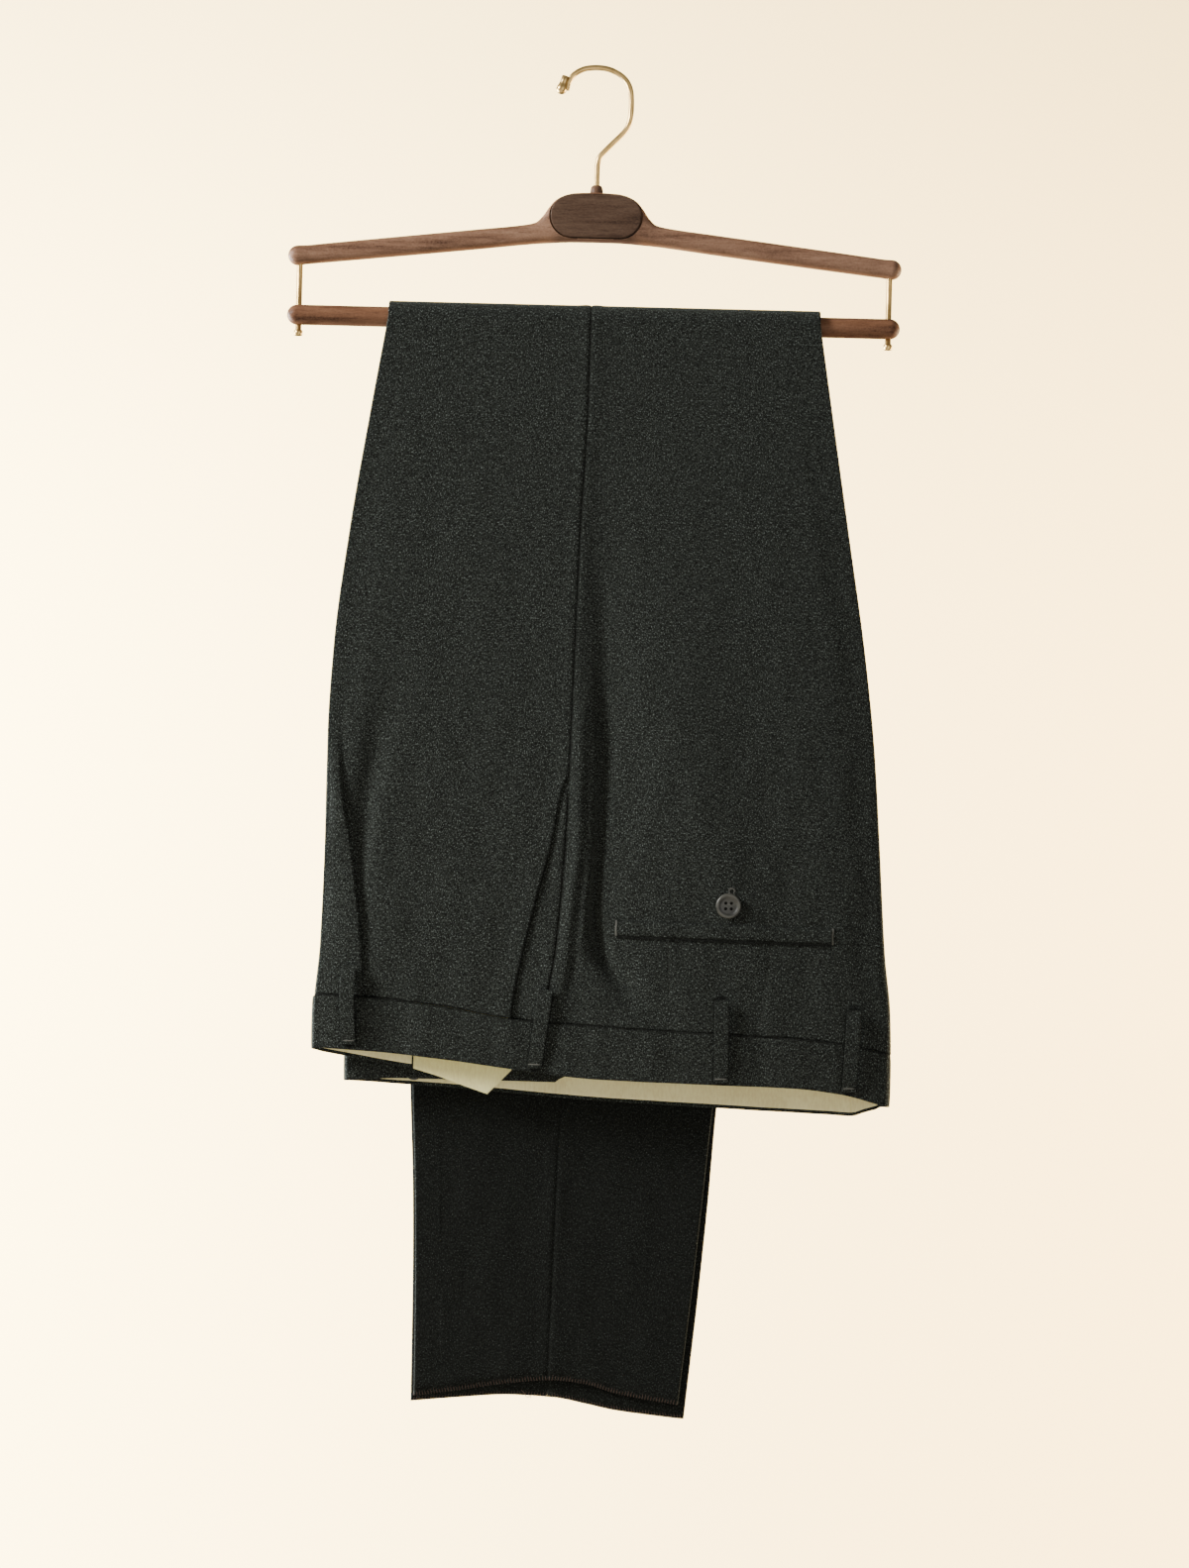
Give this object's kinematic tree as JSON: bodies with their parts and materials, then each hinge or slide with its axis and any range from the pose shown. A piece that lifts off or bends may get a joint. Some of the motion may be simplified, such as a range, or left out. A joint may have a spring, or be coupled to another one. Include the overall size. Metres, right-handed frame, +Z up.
{
  "type": "pleated dress trousers on a trouser hanger",
  "caption": "Pleated flannel dress trousers hung folded over the bar of a wooden trouser hanger with a brass wire hook.",
  "frame": {"origin": "inner top of the hook, where the hanger rests on a rail", "axes": "+Z up; +X towards the back of the trousers, along the hanger's bar; -Y faces the side that shows the right leg and the waistband"},
  "size_m": [0.4069, 0.0462, 0.8885],
  "materials": {
    "flannel": "matt milled wool flannel, dark charcoal green with pale flecks",
    "lining": "smooth cream cotton twill",
    "button": "dark horn, half polished",
    "wood": "walnut brown, satin lacquer",
    "plate": "grey brown veneer, satin",
    "brass": "polished pale brass plate"
  },
  "bodies": {
    "root": {"bar": "wood", "belt_loop_left_back": "flannel", "belt_loop_left_front": "flannel", "belt_loop_left_seat": "flannel", "belt_loop_left_side": "flannel", "belt_loop_right_back": "flannel", "belt_loop_right_front": "flannel", "belt_loop_right_seat": "flannel", "belt_loop_right_side": "flannel", "fly_shield": "lining", "hanger_body": "wood", "hanger_plate": "plate", "hook": "brass", "hook_collar": "wood", "hook_tip": "brass", "inner_button": "button", "left_back": "flannel", "left_back_pocket_button": "button", "left_back_pocket_welt": "flannel", "left_front": "flannel", "left_side_pocket_facing": "flannel", "left_waistband": "flannel", "left_waistband_lining": "lining", "right_back": "flannel", "right_back_pocket_button": "button", "right_back_pocket_welt": "flannel", "right_front": "flannel", "right_side_pocket_facing": "flannel", "right_waistband": "flannel", "right_waistband_lining": "lining", "rod_left": "brass", "rod_right": "brass"}
  },
  "joints": []
}
